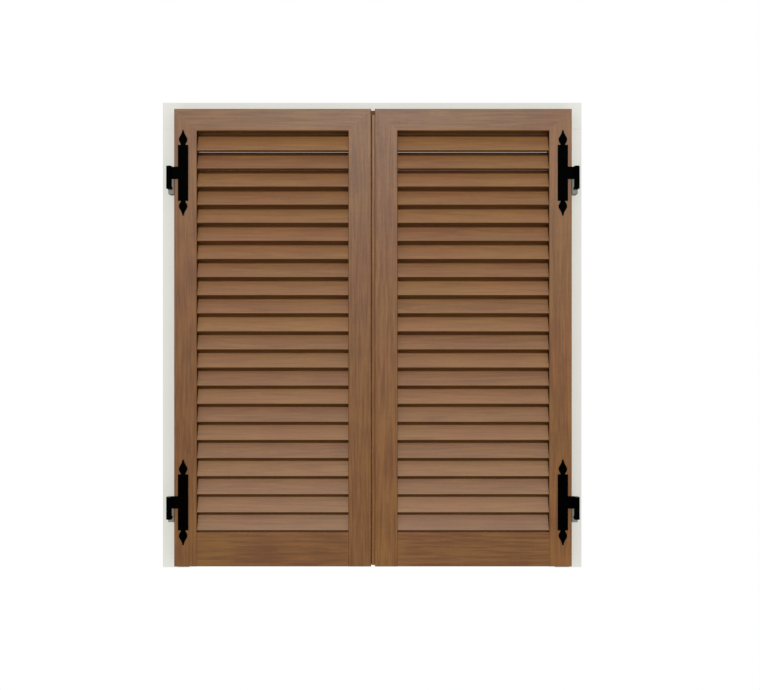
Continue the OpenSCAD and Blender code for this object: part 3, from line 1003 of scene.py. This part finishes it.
class SHUTTERS_OT_screws(Operator):
    """Drive the screws of the straps, the guides and the frame's corners"""

    bl_idname = "shutters.screws"
    bl_label = "Screws"
    # Head radius, head height and shank radius of each kind
    corner_size = (0.006, 0.0035, 0.003)
    strap_size = (0.005, 0.0022, 0.0025)
    guide_size = (0.00375, 0.002, 0.002)

    def execute(self, context):
        sizes = context.scene.shutter_sizes
        look = context.scene.shutter_finishes
        iron = forged_iron("screw iron", look)
        zinc = zinc_plate("screw zinc", look)
        tree = screw_tree()
        sets = [("corner_screws", "frame", (0, 0, 1), zinc, "zinc", self.corner_size)]
        for side in SIDES:
            leaf = side + "_leaf"
            sets += [
                (side + "_strap_screws", leaf, (0, -1, 0), iron, "black_iron", self.strap_size),
                (side + "_guide_screws", leaf, (0, 1, 0), zinc, "zinc", self.guide_size),
            ]
        for seed, (node, body, axis, material, slot, size) in enumerate(sets):
            head, height, shank = size
            way = Vector(axis)
            points, length = [], 0.0
            for low, high in islands(node):
                middle = (low + high) / 2
                along = abs((high - low).dot(way))
                points.append(middle + way * (along / 2 - height))
                length = along - height
            values = {
                "Shank Radius": shank,
                "Shank Length": length,
                "Head Radius": head,
                "Head Height": height,
                "Slot Width": sizes.slot_width,
                "Axis": way,
                "Seed": 31 + seed,
                "Material": material,
            }
            hold(grown(tree, values, node + "_slotted", points), body, [node])
        return {"FINISHED"}


class SHUTTERS_OT_stage(Operator):
    """Set up the floor, the light and the camera"""

    bl_idname = "shutters.stage"
    bl_label = "Stage"

    def execute(self, context):
        scene = context.scene
        stage = scene.shutter_stage
        low, high = MEASURED_BOX
        level = low.z - stage.floor_drop

        mesh = bpy.data.meshes.new("floor")
        disc = bmesh.new()
        bmesh.ops.create_circle(disc, cap_ends=True, radius=stage.floor_radius, segments=96)
        disc.to_mesh(mesh)
        disc.free()
        floor = linked("floor", mesh)
        floor.location = (0, 0, level)
        s = Shader("pale floor", {"Roughness": 0.85})
        away = s.vector("LENGTH", s.place)
        cloud = s.noise(s.place, 3.0, 3.0, 0.5)
        share = s.range(away, stage.floor_radius * 0.55, stage.floor_radius * 0.98)
        colour = s.mix(cloud, (0.83, 0.83, 0.82), (0.87, 0.87, 0.86))
        s.finish({"Base Color": colour})
        clear = s.add("ShaderNodeBsdfTransparent")
        mixed = s.add("ShaderNodeMixShader", {0: share, 1: s.surface.outputs[0], 2: clear})
        s.feed(s.tree.nodes["Material Output"].inputs["Surface"], mixed)
        mesh.materials.append(s.material)

        sun = bpy.data.lights.new("main light", "SUN")
        sun.energy = stage.light_strength
        sun.angle = stage.light_softness
        lamp = linked("main light", sun)
        lamp.rotation_euler = (math.pi / 2 - stage.light_height, 0, 0)
        passed = bpy.data.collections.new("passed by the main light")
        for obj in scene.objects:
            if obj.name.endswith(("_strap_hinge", "_pintle_bracket", "_strap_screws_slotted")):
                passed.objects.link(obj)
        for entry in passed.collection_objects:
            entry.light_linking.link_state = "EXCLUDE"
        lamp.light_linking.blocker_collection = passed

        world = bpy.data.worlds.new("surroundings")
        scene.world = world
        world.use_nodes = True
        w = Tree(world.node_tree)
        world.node_tree.nodes.clear()
        seen = w.add("ShaderNodeBackground", {"Color": (1, 1, 1, 1), "Strength": 1.0})
        lit = w.add(
            "ShaderNodeBackground", {"Color": (1, 1, 1, 1), "Strength": stage.surroundings}
        )
        direct = w.add("ShaderNodeLightPath").outputs["Is Camera Ray"]
        both = w.add("ShaderNodeMixShader", {0: direct, 1: lit, 2: seen})
        w.add("ShaderNodeOutputWorld", {"Surface": both})
        scene.view_settings.view_transform = "Standard"

        camera = linked("camera", bpy.data.cameras.new("camera"))
        camera.data.lens = stage.lens
        camera.data.sensor_width = 36.0
        leaf_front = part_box("left_outer_stile")[0].y
        across, up = stage.camera_offset
        camera.location = (across, leaf_front - stage.camera_distance, up)
        camera.rotation_euler = (math.pi / 2, 0, 0)
        scene.camera = camera
        return {"FINISHED"}


OPERATORS = (
    SHUTTERS_OT_frame,
    SHUTTERS_OT_leaf_wood,
    SHUTTERS_OT_seal,
    SHUTTERS_OT_slats,
    SHUTTERS_OT_straps,
    SHUTTERS_OT_pintles,
    SHUTTERS_OT_slide_bolts,
    SHUTTERS_OT_screws,
    SHUTTERS_OT_stage,
)


class SHUTTERS_PT_build(Panel):
    """Lists the shutters' pieces and their settings"""

    bl_idname = "SHUTTERS_PT_build"
    bl_label = "Louvred Shutters"
    bl_space_type = "VIEW_3D"
    bl_region_type = "UI"
    bl_category = "Shutters"

    def draw(self, context):
        column = self.layout.column()
        for group in (
            context.scene.shutter_sizes,
            context.scene.shutter_finishes,
            context.scene.shutter_stage,
        ):
            for key in group.__annotations__:
                column.prop(group, key)
            column.separator()
        for operator in OPERATORS:
            column.operator(operator.bl_idname)


CLASSES = (ShutterSizes, ShutterFinishes, ShutterStage, *OPERATORS, SHUTTERS_PT_build)


def register():
    for item in CLASSES:
        bpy.utils.register_class(item)
    bpy.types.Scene.shutter_sizes = PointerProperty(type=ShutterSizes)
    bpy.types.Scene.shutter_finishes = PointerProperty(type=ShutterFinishes)
    bpy.types.Scene.shutter_stage = PointerProperty(type=ShutterStage)


def unregister():
    del bpy.types.Scene.shutter_stage
    del bpy.types.Scene.shutter_finishes
    del bpy.types.Scene.shutter_sizes
    for item in reversed(CLASSES):
        bpy.utils.unregister_class(item)


def main():
    register()
    for operator in OPERATORS:
        group, name = operator.bl_idname.split(".")
        getattr(getattr(bpy.ops, group), name)()


if __name__ == "__main__":
    main()
